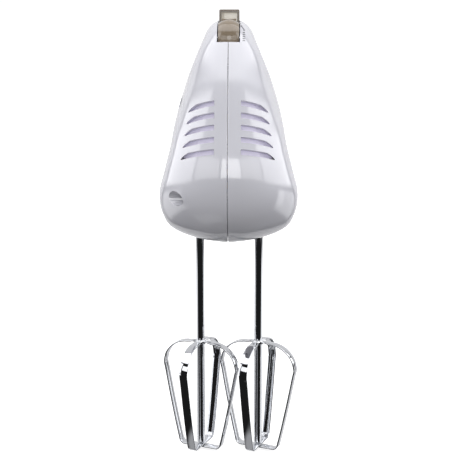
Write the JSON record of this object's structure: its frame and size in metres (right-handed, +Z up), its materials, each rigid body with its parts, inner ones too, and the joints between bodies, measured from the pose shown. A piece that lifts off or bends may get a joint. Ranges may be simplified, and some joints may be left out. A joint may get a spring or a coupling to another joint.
{
  "type": "hand mixer",
  "caption": "Hand mixer with a clamshell body and closed handle, a thumb-wheel speed control, an eject key and two meshing wire beaters driven by a worm gear motor.",
  "frame": {"origin": "middle of the hand grip, at the centre of the handle's section", "axes": "-Y towards the nose, +Y towards the heel, +Z up through the handle's top, beaters pointing down along -Z, X across the seam"},
  "size_m": [0.0938, 0.2029, 0.3014],
  "materials": {
    "white_shell": "glossy moulded",
    "taupe_control": "glossy moulded",
    "grey_rubber": "matt",
    "natural_nylon": "matt moulded",
    "board_plastic": "matt",
    "chrome_wire": "polished chrome plate on steel",
    "plain_steel": "plain steel",
    "winding_copper": "enamelled copper wire",
    "sintered_bronze": "sintered bronze",
    "core_lamination": "stacked steel sheet",
    "brush_carbon": "pressed carbon"
  },
  "bodies": {
    "housing": {"left_shell": "white_shell", "right_shell": "white_shell", "left_socket_ring": "white_shell", "right_socket_ring": "white_shell", "left_vent_screen": "white_shell", "right_vent_screen": "white_shell", "cord_gland": "grey_rubber", "heel_pad": "grey_rubber", "cord_clamp": "natural_nylon", "gear_frame": "natural_nylon", "gear_cover": "natural_nylon", "speed_switch": "board_plastic", "circuit_board": "board_plastic", "nose_screw": "plain_steel", "column_screw": "plain_steel", "rear_upper_screw": "plain_steel", "rear_lower_screw": "plain_steel", "left_clamp_screw": "plain_steel", "right_clamp_screw": "plain_steel", "dial_axle": "plain_steel", "detent_spring": "plain_steel", "eject_spring": "plain_steel", "front_bearing_bracket": "plain_steel", "rear_bearing_bracket": "plain_steel", "left_field_coil": "winding_copper", "right_field_coil": "winding_copper", "front_bearing": "sintered_bronze", "rear_bearing": "sintered_bronze", "left_brush_holder": "sintered_bronze", "right_brush_holder": "sintered_bronze", "left_lower_bush": "sintered_bronze", "left_upper_bush": "sintered_bronze", "right_lower_bush": "sintered_bronze", "right_upper_bush": "sintered_bronze", "field_core": "core_lamination", "left_brush": "brush_carbon", "right_brush": "brush_carbon"},
    "motor": {"worm_shaft": "plain_steel", "armature_core": "core_lamination", "front_winding": "winding_copper", "rear_winding": "winding_copper", "commutator": "winding_copper", "cooling_fan": "natural_nylon"},
    "left_drive": {"left_gear": "natural_nylon", "left_spindle": "plain_steel"},
    "right_drive": {"right_gear": "natural_nylon", "right_spindle": "plain_steel"},
    "left_ejector_pin": {"left_push_pin": "plain_steel"},
    "right_ejector_pin": {"right_push_pin": "plain_steel"},
    "left_beater": {"left_beater_rod": "chrome_wire", "left_beater_hub": "chrome_wire", "left_beater_loop": "chrome_wire", "left_beater_cross_loop": "chrome_wire"},
    "right_beater": {"right_beater_rod": "chrome_wire", "right_beater_hub": "chrome_wire", "right_beater_loop": "chrome_wire", "right_beater_cross_loop": "chrome_wire"},
    "dial": {"speed_dial": "taupe_control"},
    "ejector": {"eject_key": "taupe_control", "eject_plate": "natural_nylon"}
  },
  "joints": [
    {"name": "motor_spin", "type": "hinge", "parent": "housing", "child": "motor", "pos_m": [0, -0.056, -0.0875], "axis": [0, 1, 0], "continuous": true},
    {"name": "left_drive_spin", "type": "hinge", "parent": "housing", "child": "left_drive", "pos_m": [-0.02, -0.056, -0.0875], "axis": [0, 0, 1], "continuous": true},
    {"name": "right_drive_spin", "type": "hinge", "parent": "housing", "child": "right_drive", "pos_m": [0.02, -0.056, -0.0875], "axis": [0, 0, 1], "continuous": true},
    {"name": "eject_key_press", "type": "slide", "parent": "housing", "child": "ejector", "axis": [0, 0, -1], "range_m": [0, 0.006], "stiffness_N_per_m": 500, "springref_m": -0.012, "deforming": ["eject_spring"]},
    {"name": "left_pin_push", "type": "slide", "parent": "left_drive", "child": "left_ejector_pin", "axis": [0, 0, -1], "range_m": [0, 0.006]},
    {"name": "right_pin_push", "type": "slide", "parent": "right_drive", "child": "right_ejector_pin", "axis": [0, 0, -1], "range_m": [0, 0.006]},
    {"name": "left_beater_release", "type": "slide", "parent": "left_ejector_pin", "child": "left_beater", "axis": [0, 0, -1], "range_m": [0, 0.039]},
    {"name": "right_beater_release", "type": "slide", "parent": "right_ejector_pin", "child": "right_beater", "axis": [0, 0, -1], "range_m": [0, 0.039]},
    {"name": "speed_dial_turn", "type": "hinge", "parent": "housing", "child": "dial", "pos_m": [0, -0.0714, 0.0019], "axis": [1, 0, 0], "range_deg": [0, 70]}
  ],
  "couplings": [
    {"joint": "left_drive_spin", "follows": "motor_spin", "ratio": -0.090909},
    {"joint": "right_drive_spin", "follows": "motor_spin", "ratio": 0.090909},
    {"joint": "left_pin_push", "follows": "eject_key_press", "ratio": 1},
    {"joint": "right_pin_push", "follows": "eject_key_press", "ratio": 1}
  ]
}
